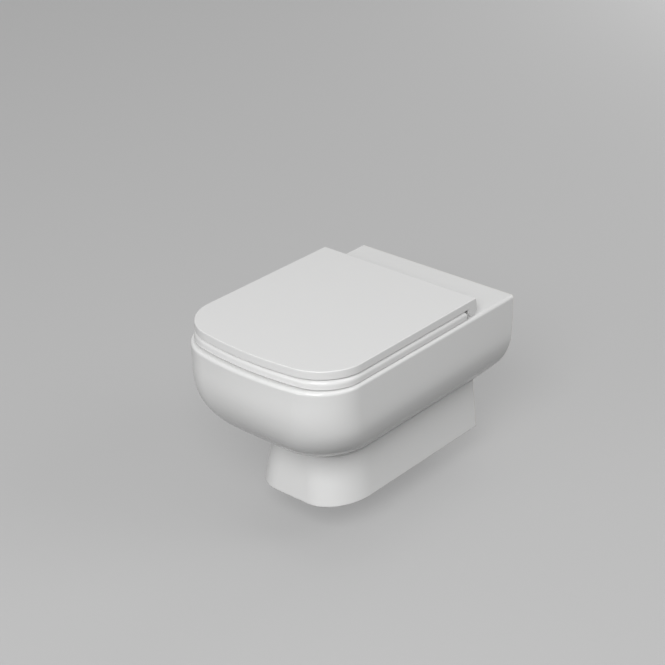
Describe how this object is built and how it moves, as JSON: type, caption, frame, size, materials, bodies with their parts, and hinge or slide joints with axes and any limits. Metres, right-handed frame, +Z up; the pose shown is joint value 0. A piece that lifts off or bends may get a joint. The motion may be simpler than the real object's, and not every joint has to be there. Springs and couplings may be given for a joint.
{
  "type": "wall hung toilet",
  "caption": "Wall hung ceramic toilet pan with a soft-cornered square bowl, short skirted foot, hidden wall fixings and a slow-closing seat and lid.",
  "frame": {"origin": "on the wall plane, midway between the two wall studs", "axes": "+Z up; +Y into the wall, so the bowl reaches out along -Y; +X to the right as seen by someone facing the wall"},
  "size_m": [0.36, 0.5468, 0.3427],
  "materials": {
    "glazed_china": "gloss glaze over vitreous china, unglazed on the back face and the foot",
    "seat_resin": "moulded thermoset, smooth with a soft gloss",
    "hinge_chrome": "polished plating",
    "pin_steel": "ground stainless steel",
    "bolt_steel": "stainless steel, turned",
    "damper_housing": "moulded acetal, satin",
    "gasket_plastic": "soft clear-white plastic sheet",
    "plug_rubber": "moulded black rubber",
    "sleeve_plastic": "moulded grey plastic",
    "buffer_rubber": "soft white elastomer",
    "seal_rubber": "moulded black rubber"
  },
  "bodies": {
    "pan": {"flush_seal": "seal_rubber", "hinge_bolt_left": "bolt_steel", "hinge_bolt_right": "bolt_steel", "hinge_gasket_left": "gasket_plastic", "hinge_gasket_right": "gasket_plastic", "hinge_pin_left": "pin_steel", "hinge_pin_right": "pin_steel", "hinge_plug_left": "plug_rubber", "hinge_plug_right": "plug_rubber", "hinge_post_left": "hinge_chrome", "hinge_post_right": "hinge_chrome", "pan": "glazed_china", "wall_nut_left": "bolt_steel", "wall_nut_right": "bolt_steel", "wall_sleeve_left": "sleeve_plastic", "wall_sleeve_right": "sleeve_plastic", "wall_washer_left": "bolt_steel", "wall_washer_right": "bolt_steel"},
    "lid": {"lid": "seat_resin", "lid_buffers": "buffer_rubber", "lid_damper": "damper_housing"},
    "seat": {"seat": "seat_resin", "seat_buffers": "buffer_rubber", "seat_damper": "damper_housing"}
  },
  "joints": [
    {"name": "lid_hinge", "type": "hinge", "parent": "pan", "child": "lid", "pos_m": [0, -0.125, 0.0958], "axis": [-1, 0, 0], "range_deg": [0, 97]},
    {"name": "seat_hinge", "type": "hinge", "parent": "pan", "child": "seat", "pos_m": [0, -0.125, 0.0958], "axis": [-1, 0, 0], "range_deg": [0, 92]}
  ],
  "couplings": [
    {"joint": "seat_hinge", "follows": "lid_hinge", "ratio": 0.9484}
  ]
}
